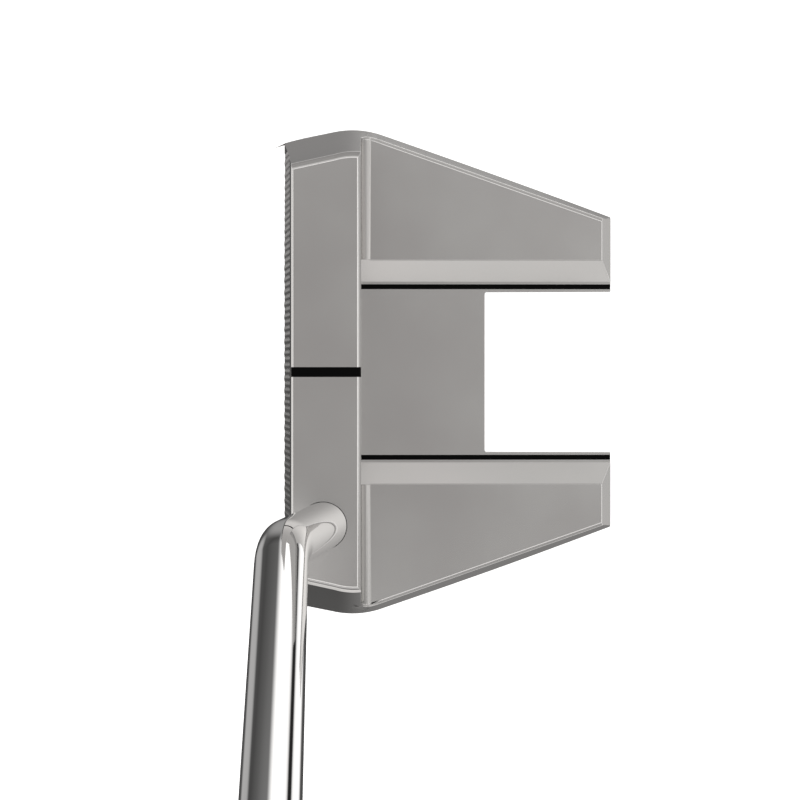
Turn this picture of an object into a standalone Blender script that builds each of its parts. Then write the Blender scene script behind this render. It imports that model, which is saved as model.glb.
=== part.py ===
"""A mallet putter: milled steel head with two rear prongs, bent chromed shaft and pistol grip.

Metres, +Z up.  The origin is on the flat middle of the sole, under the sight line.  The face looks
along -Y, the toe points along -X, and the heel and the golfer are towards +X.
"""
from math import asin
from math import copysign
from math import cos
from math import pi
from math import radians
from math import sin
from math import tan

import bmesh
import bpy
from mathutils import Matrix
from mathutils import Vector

MM = 0.001

# Clearances between pieces that touch on the real club.
GAP = 0.3 * MM
PAINT_GAP = 0.15 * MM
BOND_GAP = 0.1 * MM

# Shaft: up out of the crown, one bend, then straight to the butt at the lie angle.
SHAFT_FROM_FLANK = 19.29 * MM  # the shaft's axis at the crown, in from the head's widest point
SHAFT_CROWN_Y = -12.0 * MM
LOWER_LEAN_X = 0.01
LOWER_LEAN_Y = -0.1105
BEND_ABOVE_CROWN = 62.0 * MM
BEND_RADIUS = 48.0 * MM
LIE = radians(70.0)
CLUB_LENGTH = 863.6 * MM      # 34 inches from the ground to the end of the grip, along the shaft
TIP_Z = 7.0 * MM
TIP_RADIUS = 4.7 * MM         # 0.370 inch tip
BUTT_RADIUS = 7.35 * MM       # 0.580 inch butt
SHAFT_WALL = 0.5 * MM
STEPS_BELOW_GRIP = 56.0 * MM  # from the grip's lower end to the last step of the shaft
STEP_COUNT = 8
STEP_PITCH = 28.0 * MM
STEP_TAPER = 2.0 * MM
BOND_WALL = 0.25 * MM
BOND_BELOW_CROWN = 1.0 * MM
PLUG_LENGTH = 14.0 * MM
BORE_RADIUS = TIP_RADIUS + 2 * BOND_GAP + BOND_WALL

# Head: a crown bar behind the face, and two low wings that end in prongs.
CROWN_Z = 25.0 * MM
PANEL_Z = 8.7 * MM
FLOOR_Z = 5.0 * MM
OUTLINE_Z = 2.2 * MM          # the level at which the plan sizes below hold
HALF_SPAN = 49.54 * MM        # from the sight line to the widest point of the flank
APEX_Y = -6.0 * MM            # where the flank is widest
FLANK_RADIUS = 18.0 * MM
FRONT_ANGLE = radians(11.8)   # the flank's slant ahead of its widest point
REAR_ANGLE = radians(19.45)   # and behind it
FACE_LOFT = radians(4.5)
BORE_FRONT_WALL = 1.03 * MM   # metal between the shaft's bore and the face, at the crown
BORE_REAR_WALL = 2.4 * MM     # and between the bore and the bar's rear wall
BACK_Y = 46.55 * MM
BACK_SLOPE = 0.554            # the prong ends lean forward above the floor level
DRAFT_FRONT = 0.2825          # the flank's lean inwards per unit of height, at the face
DRAFT_BACK = 0.25             # and at the back
CROWN_CHAMFER_WIDTH = 1.3 * MM
CROWN_CHAMFER_DROP = 1.1 * MM
EDGE_CHAMFER = 0.3 * MM
REAR_CHAMFER = 0.65 * MM
REAR_WALL_LEAN = 0.0075
COVE_RADIUS = 3.3 * MM
COVE_END = radians(25.0)      # the slope at which the cove meets the panel in a crease
STRIP_SLOPE = 1.143           # width of the sloping strip per unit of its height
STRIP_STEP = 0.1 * MM         # the strips turn upright this far above the panels
NOTCH_HALF_WIDTH = 16.35 * MM
NOTCH_FRONT_Y = 20.9 * MM
NOTCH_CORNER = 0.6 * MM

SHAFT_CROWN_X = HALF_SPAN - SHAFT_FROM_FLANK
BEND_Z = CROWN_Z + BEND_ABOVE_CROWN
FACE_CROWN_Y = SHAFT_CROWN_Y - BORE_RADIUS - BORE_FRONT_WALL
FACE_Y = FACE_CROWN_Y - CROWN_Z * tan(FACE_LOFT)      # the face plane at sole level
REAR_WALL_TOP_Y = SHAFT_CROWN_Y + BORE_RADIUS + BORE_REAR_WALL

# Sole: flat in the middle, rolling up to the toe, the heel, the face and the back.
SOLE_FLAT_X = 14.0 * MM
SOLE_FLAT_FRONT_Y = -14.0 * MM
SOLE_FLAT_BACK_Y = 8.0 * MM
SOLE_CAMBER_RADIUS = 265.0 * MM
SOLE_FRONT_RADIUS = 16.0 * MM
SOLE_REAR_RADIUS = 263.0 * MM

# Painted grooves: one across the crown, one along the floor on each side of the notch.
SIGHT_WIDTH = 1.95 * MM
SIGHT_DEPTH = 0.8 * MM
LINE_WIDTH = 1.0 * MM
LINE_DEPTH = 0.6 * MM
NOTCH_LEDGE = 0.51 * MM       # floor between the notch and a line
LINE_MARGIN = 0.53 * MM       # floor between a line and the foot of the sloping strip
LINE_X = NOTCH_HALF_WIDTH + NOTCH_LEDGE + LINE_WIDTH / 2
STRIP_FOOT_X = LINE_X + LINE_WIDTH / 2 + LINE_MARGIN

# Screw-in sole weights.
WEIGHT_FROM_FLANK = 15.5 * MM
WEIGHT_X = HALF_SPAN - WEIGHT_FROM_FLANK
WEIGHT_Y = 10.0 * MM
WEIGHT_RADIUS = 7.7 * MM
WEIGHT_RECESS = 0.3 * MM
FLANGE_THICK = 1.6 * MM
SHANK_RADIUS = 5.2 * MM
SHANK_LENGTH = 3.2 * MM
SOCKET_RADIUS = 2.6 * MM
SOCKET_DEPTH = 2.2 * MM
O_RING_WIRE = 0.4 * MM
O_RING_GAP = 0.15 * MM

# Grip, measured down the shaft from its cap.
GRIP_LENGTH = 267.0 * MM
CAP_THICK = 4.0 * MM
CAP_DOME = 1.2 * MM
SKIN_THICK = 1.2 * MM
TAPE_THICK = 0.4 * MM
TAPE_ABOVE_END = 5.0 * MM     # the tape stops this far above the grip's lower end
VENT_RADIUS = 1.8 * MM
GRIP_BORE_RADIUS = BUTT_RADIUS + TAPE_THICK + 2 * PAINT_GAP
# Distance down the grip, then its wall outside the bore: at the sides, the flat front and the back.
GRIP_STATIONS = (
    (0.0 * MM, 4.15 * MM, 4.55 * MM, 9.95 * MM),
    (22.0 * MM, 4.85 * MM, 4.85 * MM, 9.55 * MM),
    (75.0 * MM, 4.35 * MM, 4.15 * MM, 5.15 * MM),
    (140.0 * MM, 3.85 * MM, 3.35 * MM, 4.35 * MM),
    (210.0 * MM, 2.85 * MM, 2.55 * MM, 3.35 * MM),
    (267.0 * MM, 1.85 * MM, 1.85 * MM, 1.85 * MM),
)

FRONT_FLATNESS = 0.5          # 1 would make the front of the grip round, 0 square
ACROSS = Vector((0, 1, 0))    # the width of the grip, square to the face

ROUND_STEPS = 24
FLANK_STEPS = 5
COVE_STEPS = 6
BEND_STEPS = 8
GRIP_STEPS = 28
GRIP_RINGS = 12
PAST = 5.0 * MM               # how far a cutter runs past what it cuts


def clear_scene():
    for thing in list(bpy.data.objects):
        bpy.data.objects.remove(thing, do_unlink=True)


def finish_material(name, colour, metallic, roughness):
    material = bpy.data.materials.new(name)
    material.use_nodes = True
    shader = material.node_tree.nodes["Principled BSDF"]
    shader.inputs["Base Color"].default_value = (*colour, 1.0)
    shader.inputs["Metallic"].default_value = metallic
    shader.inputs["Roughness"].default_value = roughness
    return material


def make_object(name, work, material=None, smooth_angle=None):
    """An object from a bmesh, its faces turned outwards."""
    bmesh.ops.recalc_face_normals(work, faces=work.faces)
    mesh = bpy.data.meshes.new(name)
    work.to_mesh(mesh)
    work.free()
    if smooth_angle is not None:
        mesh.shade_smooth()
        mesh.set_sharp_from_angle(angle=smooth_angle)
    made = bpy.data.objects.new(name, mesh)
    bpy.context.scene.collection.objects.link(made)
    if material:
        mesh.materials.append(material)
    return made


def as_cutter(made):
    made.hide_render = True
    made.display_type = "WIRE"
    return made


def boolean(target, other, operation):
    change = target.modifiers.new(f"{operation.lower()} {other.name}", "BOOLEAN")
    change.operation = operation
    change.solver = "EXACT"
    change.object = other


def cut(target, *cutters):
    for cutter in cutters:
        boolean(target, as_cutter(cutter), "DIFFERENCE")


def loft(rings, closed=False):
    """A skin through rings of points; ends are capped, unless the last ring joins the first."""
    work = bmesh.new()
    loops = [[work.verts.new(point) for point in ring] for ring in rings]
    count = len(loops[0])
    spans = list(zip(loops, loops[1:]))
    if closed:
        spans.append((loops[-1], loops[0]))
    for low, high in spans:
        for index in range(count):
            after = (index + 1) % count
            work.faces.new((low[index], low[after], high[after], high[index]))
    if not closed:
        work.faces.new(reversed(loops[0]))
        work.faces.new(loops[-1])
    return work


def prism(outline, depth):
    """A solid from an outline of points, pushed along a vector."""
    return loft([[Vector(point) for point in outline], [Vector(point) + depth for point in outline]])


def turned(profile, frame, steps=ROUND_STEPS):
    """A profile of (radius, height) points turned about the frame's Z; a zero radius is a pole."""
    rings = []
    for radius, height in profile:
        rings.append([
            frame @ Vector((radius * cos(2 * pi * step / steps), radius * sin(2 * pi * step / steps), height))
            for step in range(steps)
        ])
    return rings


def arc(centre, radius, start, end, steps):
    """Points (first, second) on an arc, both ends included."""
    return [
        (centre[0] + radius * cos(start + (end - start) * step / steps),
         centre[1] + radius * sin(start + (end - start) * step / steps))
        for step in range(steps + 1)
    ]


# ---- head ----

def flank_stations():
    """(y, x) round the heel flank's curve at the outline level; the flank runs straight past both ends."""
    centre_x = HALF_SPAN - FLANK_RADIUS
    return [(y, x) for x, y in arc((centre_x, APEX_Y), FLANK_RADIUS, -FRONT_ANGLE, REAR_ANGLE, FLANK_STEPS)]


def flank_x(y, z):
    """The flank's distance from the sight line at a place and height."""
    stations = flank_stations()
    first, last = stations[0], stations[-1]
    if y <= first[0]:
        slant = FRONT_ANGLE
        x = first[1] - (first[0] - y) * tan(slant)
    elif y >= last[0]:
        slant = REAR_ANGLE
        x = last[1] - (y - last[0]) * tan(slant)
    else:
        slant = asin((y - APEX_Y) / FLANK_RADIUS)
        x = HALF_SPAN - FLANK_RADIUS * (1 - cos(slant))
    share = (y - FACE_Y) / (BACK_Y - FACE_Y)
    draft = DRAFT_FRONT + (DRAFT_BACK - DRAFT_FRONT) * share
    return x - draft * (z - OUTLINE_Z) / cos(slant)


def face_y(z):
    return FACE_Y + z * tan(FACE_LOFT)


def back_y(z):
    return BACK_Y - max(0.0, z - FLOOR_Z) * BACK_SLOPE


def rear_wall_y(z):
    return REAR_WALL_TOP_Y + (CROWN_Z - z) * REAR_WALL_LEAN


def head_ring(z):
    """The head's outline at one height, chamfered near the crown."""
    over_end = max(0.0, z - (CROWN_Z - CROWN_CHAMFER_DROP))
    over_front = max(0.0, z - (CROWN_Z - EDGE_CHAMFER))
    inset = over_end * CROWN_CHAMFER_WIDTH / CROWN_CHAMFER_DROP
    front = face_y(z) + over_front
    heel = [(flank_x(front, z) - inset, front)]
    heel += [(flank_x(y, z) - inset, y) for y, _ in flank_stations()]
    heel.append((flank_x(back_y(z), z) - inset, back_y(z)))
    toe = [(-x, y) for x, y in reversed(heel)]
    return [Vector((x, y, z)) for x, y in heel + toe]


def sole_z(x, y):
    """Height of the sole's surface: flat in the middle, rolled up all round."""
    side = max(0.0, abs(x) - SOLE_FLAT_X)
    front = max(0.0, SOLE_FLAT_FRONT_Y - y)
    rear = max(0.0, y - SOLE_FLAT_BACK_Y)
    rise = side ** 2 / SOLE_CAMBER_RADIUS + front ** 2 / SOLE_FRONT_RADIUS + rear ** 2 / SOLE_REAR_RADIUS
    return rise / 2


def spread(start, end, count):
    return [start + (end - start) * step / count for step in range(count + 1)]


def sole_cutter():
    """A block under the head whose top is the sole's surface."""
    side = spread(SOLE_FLAT_X, HALF_SPAN + PAST, 6)
    xs = [-x for x in reversed(side)] + side
    ys = spread(FACE_Y - PAST, SOLE_FLAT_FRONT_Y, 5) + spread(SOLE_FLAT_BACK_Y, BACK_Y + PAST, 5)
    work = bmesh.new()
    top = [[work.verts.new((x, y, sole_z(x, y))) for x in xs] for y in ys]
    for row, after in zip(top, top[1:]):
        for index in range(len(xs) - 1):
            work.faces.new((row[index], row[index + 1], after[index + 1], after[index]))
    drop = bmesh.ops.extrude_face_region(work, geom=work.faces[:])
    for vert in drop["geom"]:
        if isinstance(vert, bmesh.types.BMVert):
            vert.co.z = -PAST
    return make_object("sole form", work)


def panel_cutter():
    """What is milled away above the wings: the bar's rear wall, the cove and the panels."""
    cove_z = PANEL_Z + COVE_RADIUS * cos(COVE_END)
    cove_y = rear_wall_y(cove_z) + COVE_RADIUS
    chamfer_y = rear_wall_y(CROWN_Z - REAR_CHAMFER)
    outline = [(chamfer_y - REAR_CHAMFER - PAST, CROWN_Z + PAST), (chamfer_y, CROWN_Z - REAR_CHAMFER)]
    outline += arc((cove_y, cove_z), COVE_RADIUS, pi, 1.5 * pi - COVE_END, COVE_STEPS)
    outline += [(BACK_Y + PAST, PANEL_Z), (BACK_Y + PAST, CROWN_Z + PAST)]
    reach = HALF_SPAN + PAST
    profile = [(-reach, y, z) for y, z in outline]
    return make_object("panel mill", prism(profile, Vector((2 * reach, 0, 0))))


def channel_cutter():
    """The channel between the wings: a flat floor and two sloping strips, upright where they meet the cove."""
    step_z = PANEL_Z + STRIP_STEP
    rings = []
    for z in (FLOOR_Z, step_z, PANEL_Z + COVE_RADIUS + PAST):
        x = channel_x(min(z, step_z))
        front = rear_wall_y(z)
        rings.append([
            Vector((-x, front, z)), Vector((x, front, z)),
            Vector((x, BACK_Y + PAST, z)), Vector((-x, BACK_Y + PAST, z)),
        ])
    return make_object("channel mill", loft(rings))


def channel_x(z):
    """Half width of the channel at a height."""
    return STRIP_FOOT_X + (z - FLOOR_Z) * STRIP_SLOPE


def notch_cutter():
    """The gap between the prongs, with small round corners at its front."""
    inner = NOTCH_HALF_WIDTH - NOTCH_CORNER
    corner_y = NOTCH_FRONT_Y + NOTCH_CORNER
    outline = arc((-inner, corner_y), NOTCH_CORNER, pi, 1.5 * pi, 3)
    outline += arc((inner, corner_y), NOTCH_CORNER, 1.5 * pi, 2 * pi, 3)
    outline += [(NOTCH_HALF_WIDTH, BACK_Y + PAST), (-NOTCH_HALF_WIDTH, BACK_Y + PAST)]
    base = [(x, y, -PAST) for x, y in outline]
    return make_object("notch mill", prism(base, Vector((0, 0, CROWN_Z + PAST))))


def block(name, low, high):
    corners = [(low[0], low[1]), (high[0], low[1]), (high[0], high[1]), (low[0], high[1])]
    base = [(x, y, low[2]) for x, y in corners]
    return make_object(name, prism(base, Vector((0, 0, high[2] - low[2]))))


def sight_groove():
    half = SIGHT_WIDTH / 2
    low = (-half, FACE_Y - PAST, CROWN_Z - SIGHT_DEPTH)
    high = (half, REAR_WALL_TOP_Y + PAST, CROWN_Z + PAST)
    return block("sight groove", low, high)


def line_groove(side):
    """A groove in the floor beside the strip, open at the prong's end."""
    start = rear_wall_y(FLOOR_Z) + PAINT_GAP
    low = (side * LINE_X - LINE_WIDTH / 2, start, FLOOR_Z - LINE_DEPTH)
    high = (side * LINE_X + LINE_WIDTH / 2, BACK_Y + PAST, FLOOR_Z + PAST)
    return block("line groove", low, high)


def weight_frame(side):
    """Where a weight sits: on the sole's surface, its Z into the head."""
    step = MM
    x, y = side * WEIGHT_X, WEIGHT_Y
    slope_x = (sole_z(x + step, y) - sole_z(x - step, y)) / (2 * step)
    slope_y = (sole_z(x, y + step) - sole_z(x, y - step)) / (2 * step)
    inwards = Vector((-slope_x, -slope_y, 1.0)).normalized()
    turn = Vector((0, 0, 1)).rotation_difference(inwards).to_matrix().to_4x4()
    return Matrix.Translation((x, y, sole_z(x, y))) @ turn


def weight_heights():
    """Heights up a weight: outer face, flange top, o-ring seat, end of the shank."""
    flange = WEIGHT_RECESS + FLANGE_THICK
    seat = flange + 2 * O_RING_WIRE + 2 * O_RING_GAP
    return WEIGHT_RECESS, flange, seat, seat + SHANK_LENGTH - 2 * O_RING_WIRE


def weight_pocket(side):
    _, _, seat, end = weight_heights()
    profile = [
        (WEIGHT_RADIUS + GAP, -PAST), (WEIGHT_RADIUS + GAP, seat),
        (SHANK_RADIUS + GAP, seat), (SHANK_RADIUS + GAP, end + GAP),
    ]
    return make_object("weight pocket", loft(turned(profile, weight_frame(side))))


def head_body(material):
    """The one-piece milled head, with everything cut out of it."""
    levels = (-PAST / 2, FLOOR_Z, CROWN_Z - CROWN_CHAMFER_DROP, CROWN_Z - EDGE_CHAMFER, CROWN_Z)
    head = make_object("head_body", loft([head_ring(z) for z in levels]), material)
    cut(head, sole_cutter(), panel_cutter(), channel_cutter(), notch_cutter())
    cut(head, sight_groove(), line_groove(-1), line_groove(1))
    cut(head, weight_pocket(-1), weight_pocket(1), shaft_bore())
    return head


def centre_sight_line(material):
    """Paint that fills the crown's groove from the face to the rear wall."""
    half = SIGHT_WIDTH / 2 - PAINT_GAP
    bottom = CROWN_Z - SIGHT_DEPTH + PAINT_GAP
    rings = []
    for z, front_inset, back_inset in ((bottom, 0.0, 0.0), (CROWN_Z, EDGE_CHAMFER, REAR_CHAMFER)):
        front = face_y(z) + front_inset
        back = rear_wall_y(z) - back_inset
        corners = ((-half, front), (half, front), (half, back), (-half, back))
        rings.append([Vector((x, y, z)) for x, y in corners])
    return make_object("centre_sight_line", loft(rings), material)


def alignment_line(name, side, material):
    """Paint that fills one long groove in the floor."""
    half = LINE_WIDTH / 2 - PAINT_GAP
    start = rear_wall_y(FLOOR_Z) + 2 * PAINT_GAP
    low = (side * LINE_X - half, start, FLOOR_Z - LINE_DEPTH + PAINT_GAP)
    high = (side * LINE_X + half, BACK_Y - PAINT_GAP, FLOOR_Z)
    fill = block(name, low, high)
    fill.data.materials.append(material)
    return fill


def sole_weight(name, side, material):
    """A flanged screw-in plug with a hexagonal key socket in its outer face."""
    outer, flange, _, end = weight_heights()
    frame = weight_frame(side)
    edge = EDGE_CHAMFER
    profile = [
        (WEIGHT_RADIUS - edge, outer), (WEIGHT_RADIUS, outer + edge), (WEIGHT_RADIUS, flange),
        (SHANK_RADIUS, flange), (SHANK_RADIUS, end - edge), (SHANK_RADIUS - edge, end),
    ]
    plug = make_object(name, loft(turned(profile, frame)), material, radians(30))
    socket = [(SOCKET_RADIUS, -PAST), (SOCKET_RADIUS, outer + SOCKET_DEPTH)]
    cut(plug, make_object("key socket", loft(turned(socket, frame, 6))))
    return plug


def weight_o_ring(name, side, material):
    """A rubber ring round the shank, under the flange."""
    _, flange, _, _ = weight_heights()
    centre = flange + O_RING_GAP + O_RING_WIRE
    reach = SHANK_RADIUS + O_RING_GAP + O_RING_WIRE
    profile = arc((reach, centre), O_RING_WIRE, 0, 2 * pi * 7 / 8, 7)
    rings = turned(profile, weight_frame(side))
    return make_object(name, loft(rings, closed=True), material, radians(60))


# ---- shaft ----

def lower_direction():
    return Vector((LOWER_LEAN_X, LOWER_LEAN_Y, 1.0)).normalized()


def upper_direction():
    return Vector((cos(LIE), 0.0, sin(LIE)))


def lower_point(z):
    """The point at a height on the shaft's axis below the bend."""
    above = z - CROWN_Z
    return Vector((SHAFT_CROWN_X + above * LOWER_LEAN_X, SHAFT_CROWN_Y + above * LOWER_LEAN_Y, z))


def bend_side():
    """The direction square to both straight runs of the shaft."""
    return lower_direction().cross(upper_direction()).normalized()


def upper_point(down):
    """The point on the upper axis at a distance down from the end of the grip."""
    above_bend = CLUB_LENGTH - BEND_Z / sin(LIE)
    return bend_corner() + upper_direction() * (above_bend - down)


def bend_corner():
    return lower_point(BEND_Z)


def ring_about(centre, direction, radius, steps=ROUND_STEPS):
    """A circle of points square to a direction, its first point on the bend's side."""
    side = bend_side()
    other = direction.cross(side)
    return [
        centre + side * (radius * cos(2 * pi * step / steps)) + other * (radius * sin(2 * pi * step / steps))
        for step in range(steps)
    ]


def bend_path():
    """(point, direction) round the bend, from the lower run to the upper one."""
    low, high = lower_direction(), upper_direction()
    turn = low.angle(high)
    setback = BEND_RADIUS * tan(turn / 2)
    start = bend_corner() - low * setback
    inwards = bend_side().cross(low)
    path = []
    for step in range(BEND_STEPS + 1):
        angle = turn * step / BEND_STEPS
        point = start + low * (BEND_RADIUS * sin(angle)) + inwards * (BEND_RADIUS * (1 - cos(angle)))
        path.append((point, low * cos(angle) + inwards * sin(angle)))
    return path


def shaft_stations():
    """(point, direction, outer radius) along the shaft from tip to butt."""
    stations = [(lower_point(TIP_Z), lower_direction(), TIP_RADIUS)]
    stations += [(point, direction, TIP_RADIUS) for point, direction in bend_path()]
    direction = upper_direction()
    grow = (BUTT_RADIUS - TIP_RADIUS) / STEP_COUNT
    steps_length = (STEP_COUNT - 1) * STEP_PITCH + STEP_TAPER
    first = upper_point(GRIP_LENGTH + STEPS_BELOW_GRIP + steps_length)
    for step in range(STEP_COUNT):
        place = first + direction * (step * STEP_PITCH)
        stations.append((place, direction, TIP_RADIUS + grow * step))
        stations.append((place + direction * STEP_TAPER, direction, TIP_RADIUS + grow * (step + 1)))
    stations.append((upper_point(CAP_THICK + GAP), direction, BUTT_RADIUS))
    return stations


def shaft(material):
    """A thin steel tube, open at both ends."""
    stations = shaft_stations()
    outer = [ring_about(point, direction, radius) for point, direction, radius in stations]
    inner = [ring_about(point, direction, radius - SHAFT_WALL) for point, direction, radius in stations]
    return sleeve("shaft", outer, inner, material, radians(30))


def sleeve(name, outer, inner, material, smooth=radians(40)):
    """A tube, open at both ends, from its outer rings and the matching inner ones."""
    return make_object(name, loft(outer + inner[::-1], closed=True), material, smooth)


def shaft_bore():
    """The blind hole in the crown that the tip is bonded into."""
    direction = lower_direction()
    rings = [
        ring_about(lower_point(TIP_Z - GAP), direction, BORE_RADIUS),
        ring_about(lower_point(CROWN_Z + PAST), direction, BORE_RADIUS),
    ]
    return make_object("shaft bore", loft(rings))


def shaft_bond(material):
    """The cured adhesive between the tip and the bore."""
    direction = lower_direction()
    ends = (lower_point(TIP_Z), lower_point(CROWN_Z - BOND_BELOW_CROWN))
    outer = [ring_about(end, direction, BORE_RADIUS - BOND_GAP) for end in ends]
    inner = [ring_about(end, direction, TIP_RADIUS + BOND_GAP) for end in ends]
    return sleeve("shaft_bond", outer, inner, material)


def shaft_tip_plug(material):
    """The stopper pushed into the tip to keep adhesive out of the tube."""
    direction = lower_direction()
    radius = TIP_RADIUS - SHAFT_WALL - PAINT_GAP
    low = lower_point(TIP_Z) + direction * GAP
    rings = [ring_about(low, direction, radius), ring_about(low + direction * PLUG_LENGTH, direction, radius)]
    return make_object("shaft_tip_plug", loft(rings), material, radians(30))


# ---- grip ----

def eased(stations, place):
    """Smooth values between the stations of a table, by place."""
    for before, after in zip(stations, stations[1:]):
        if place <= after[0]:
            share = (place - before[0]) / (after[0] - before[0])
            share = share * share * (3 - 2 * share)
            return [low + (high - low) * share for low, high in zip(before[1:], after[1:])]
    return list(stations[-1][1:])


def golferwards():
    """Square to the butt, from the flat front of the grip towards its back and the golfer."""
    return ACROSS.cross(upper_direction())


def grip_ring(down, inset):
    """The grip's section: a flat front for the thumbs, square shoulders and a round back."""
    half, front, back = [GRIP_BORE_RADIUS + wall for wall in eased(GRIP_STATIONS, down)]
    centre = upper_point(down)
    ring = []
    for step in range(GRIP_STEPS):
        angle = 2 * pi * step / GRIP_STEPS
        wide, deep = cos(angle), sin(angle)
        if deep < 0:
            wide = copysign(abs(wide) ** FRONT_FLATNESS, wide)
            deep = -abs(deep) ** FRONT_FLATNESS
            depth = front
        else:
            depth = back
        ring.append(centre + ACROSS * ((half - inset) * wide) + golferwards() * ((depth - inset) * deep))
    return ring


def grip_places():
    return spread(CAP_THICK + GAP, GRIP_LENGTH, GRIP_RINGS)


def round_grip_ring(down, radius):
    """A round ring with the same number of points as the grip's section, in step with it."""
    centre = upper_point(down)
    across, deep = ACROSS * radius, golferwards() * radius
    angles = [2 * pi * step / GRIP_STEPS for step in range(GRIP_STEPS)]
    return [centre + across * cos(angle) + deep * sin(angle) for angle in angles]


def grip_skin(material):
    """The outer wrap of the grip."""
    places = grip_places()
    outer = [grip_ring(down, 0.0) for down in places]
    inner = [grip_ring(down, SKIN_THICK) for down in places]
    return sleeve("grip_skin", outer, inner, material)


def grip_underlisting(material):
    """The foam-rubber core under the skin, bored for the shaft."""
    places = grip_places()
    outer = [grip_ring(down, SKIN_THICK + PAINT_GAP) for down in places]
    inner = [round_grip_ring(down, GRIP_BORE_RADIUS) for down in places]
    return sleeve("grip_underlisting", outer, inner, material)


def grip_tape(material):
    """Double-sided tape round the butt of the shaft."""
    ends = (CAP_THICK + 2 * GAP, GRIP_LENGTH - TAPE_ABOVE_END)
    direction = upper_direction()
    inner_radius = BUTT_RADIUS + PAINT_GAP
    outer = [ring_about(upper_point(down), direction, inner_radius + TAPE_THICK) for down in ends]
    inner = [ring_about(upper_point(down), direction, inner_radius) for down in ends]
    return sleeve("grip_tape", outer, inner, material)


def grip_end_cap(material):
    """The cap over the butt, domed a little, with a vent hole."""
    outer = [grip_ring(CAP_THICK, 0.0), grip_ring(CAP_DOME, 0.0), grip_ring(0.0, CAP_DOME)]
    inner = [round_grip_ring(0.0, VENT_RADIUS), round_grip_ring(CAP_THICK, VENT_RADIUS)]
    return make_object("grip_end_cap", loft(outer + inner, closed=True), material, radians(40))


def main():
    clear_scene()
    steel = finish_material("satin stainless steel", (0.50, 0.49, 0.48), 1.0, 0.32)
    chrome = finish_material("chrome", (0.78, 0.78, 0.79), 1.0, 0.06)
    paint = finish_material("black paint", (0.01, 0.01, 0.01), 0.0, 0.45)
    weight = finish_material("turned weight steel", (0.42, 0.42, 0.43), 1.0, 0.28)
    rubber = finish_material("black rubber", (0.02, 0.02, 0.02), 0.0, 0.75)
    adhesive = finish_material("epoxy", (0.05, 0.05, 0.045), 0.0, 0.4)
    cork = finish_material("cork", (0.45, 0.29, 0.17), 0.0, 0.9)
    paper = finish_material("tape", (0.72, 0.68, 0.55), 0.0, 0.8)
    foam = finish_material("foam rubber", (0.06, 0.06, 0.06), 0.0, 0.9)
    skin = finish_material("grip polyurethane", (0.03, 0.03, 0.03), 0.0, 0.65)

    head_body(steel)
    centre_sight_line(paint)
    for name, side in (("toe", -1), ("heel", 1)):
        alignment_line(f"{name}_alignment_line", side, paint)
        sole_weight(f"{name}_sole_weight", side, weight)
        weight_o_ring(f"{name}_weight_o_ring", side, rubber)
    shaft(chrome)
    shaft_bond(adhesive)
    shaft_tip_plug(cork)
    grip_tape(paper)
    grip_underlisting(foam)
    grip_skin(skin)
    grip_end_cap(rubber)


main()
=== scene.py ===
"""Looks of the mallet putter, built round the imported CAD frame.

Metres, +Z up, face along -Y, toe along -X, heel and golfer along +X.
"""
from math import asin
from math import copysign
from math import cos
from math import floor
from math import pi
from math import radians
from math import sin
from math import tan

import bmesh
import bpy
from mathutils import Matrix
from mathutils import Vector


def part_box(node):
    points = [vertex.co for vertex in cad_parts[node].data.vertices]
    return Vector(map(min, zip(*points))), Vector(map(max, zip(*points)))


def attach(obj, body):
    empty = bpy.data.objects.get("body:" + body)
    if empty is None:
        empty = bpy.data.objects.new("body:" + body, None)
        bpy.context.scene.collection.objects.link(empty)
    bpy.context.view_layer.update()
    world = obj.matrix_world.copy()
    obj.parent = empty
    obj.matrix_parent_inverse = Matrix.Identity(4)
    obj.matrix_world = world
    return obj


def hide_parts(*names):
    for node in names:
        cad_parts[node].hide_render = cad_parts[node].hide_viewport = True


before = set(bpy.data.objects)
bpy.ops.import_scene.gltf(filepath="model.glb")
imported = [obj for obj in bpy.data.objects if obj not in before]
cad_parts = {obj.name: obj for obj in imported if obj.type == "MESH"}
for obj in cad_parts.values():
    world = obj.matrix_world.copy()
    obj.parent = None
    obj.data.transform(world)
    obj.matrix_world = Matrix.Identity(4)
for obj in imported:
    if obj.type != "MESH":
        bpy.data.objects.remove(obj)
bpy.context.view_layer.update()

MM = 0.001

# ---- sizes taken from the frame ----
HEAD_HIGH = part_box("head_body")[1]
CROWN_Z = HEAD_HIGH.z
BACK_Y = HEAD_HIGH.y
LINE_LOW, LINE_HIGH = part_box("heel_alignment_line")
FLOOR_Z = LINE_HIGH.z

# ---- the head's sizes, as in the CAD ----
PANEL_Z = 8.7 * MM
OUTLINE_Z = 2.2 * MM
HALF_SPAN = 49.54 * MM
APEX_Y = -6.0 * MM
FLANK_RADIUS = 18.0 * MM
FRONT_ANGLE = radians(11.8)
REAR_ANGLE = radians(19.45)
FACE_LOFT = radians(4.5)
FACE_CROWN_Y = -18.18 * MM
FACE_Y = FACE_CROWN_Y - CROWN_Z * tan(FACE_LOFT)
BACK_SLOPE = 0.554
DRAFT_FRONT = 0.2825
DRAFT_BACK = 0.25
REAR_WALL_TOP_Y = -4.45 * MM
REAR_WALL_LEAN = 0.0075
COVE_RADIUS = 3.3 * MM
COVE_END = radians(25.0)
STRIP_SLOPE = 1.143
STRIP_STEP = 0.1 * MM         # the strips turn upright this far above the panels
NOTCH_HALF_WIDTH = 16.35 * MM
NOTCH_FRONT_Y = 20.9 * MM
NOTCH_CORNER = 0.6 * MM
LINE_WIDTH = 1.0 * MM
LINE_DEPTH = 0.6 * MM
LINE_X = (LINE_LOW.x + LINE_HIGH.x) / 2
STRIP_FROM_LINE = 0.53 * MM
STRIP_FOOT_X = LINE_X + LINE_WIDTH / 2 + STRIP_FROM_LINE
SIGHT_WIDTH = 1.95 * MM
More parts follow.
